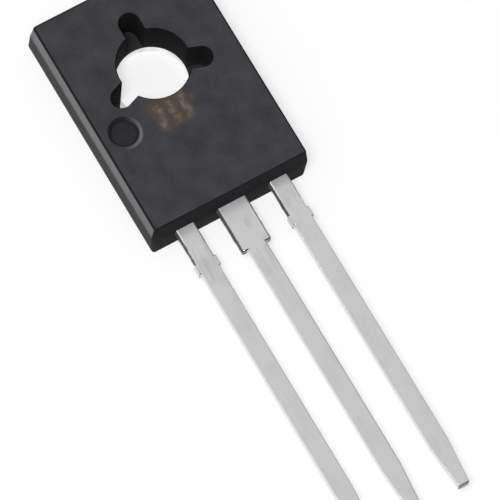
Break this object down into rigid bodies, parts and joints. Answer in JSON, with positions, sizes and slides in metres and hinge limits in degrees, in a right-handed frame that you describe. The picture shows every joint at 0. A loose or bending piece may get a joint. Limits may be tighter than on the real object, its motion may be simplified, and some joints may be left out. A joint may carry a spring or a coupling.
{
  "type": "bipolar power transistor",
  "caption": "Plastic-case bipolar power transistor with a mounting hole, metal mounting face and long tinned leads.",
  "frame": {"origin": "on the mounting hole's axis, in the plane of the metal mounting face", "axes": "+Z out of the front of the case along the mounting hole, +Y towards the hole end of the case, leads along -Y"},
  "size_m": [0.0076, 0.0267, 0.0026],
  "materials": {
    "epoxy": "matte moulded epoxy",
    "tinned_copper": "bright tin over copper",
    "silicon": "polished silicon with metallised pads",
    "solder": "dull solder",
    "wire": "drawn aluminium"
  },
  "bodies": {
    "root": {"moulded_case": "epoxy", "collector_frame": "tinned_copper", "base_lead": "tinned_copper", "emitter_lead": "tinned_copper", "transistor_die": "silicon", "die_solder": "solder", "base_wire": "wire", "emitter_wire": "wire"}
  },
  "joints": []
}
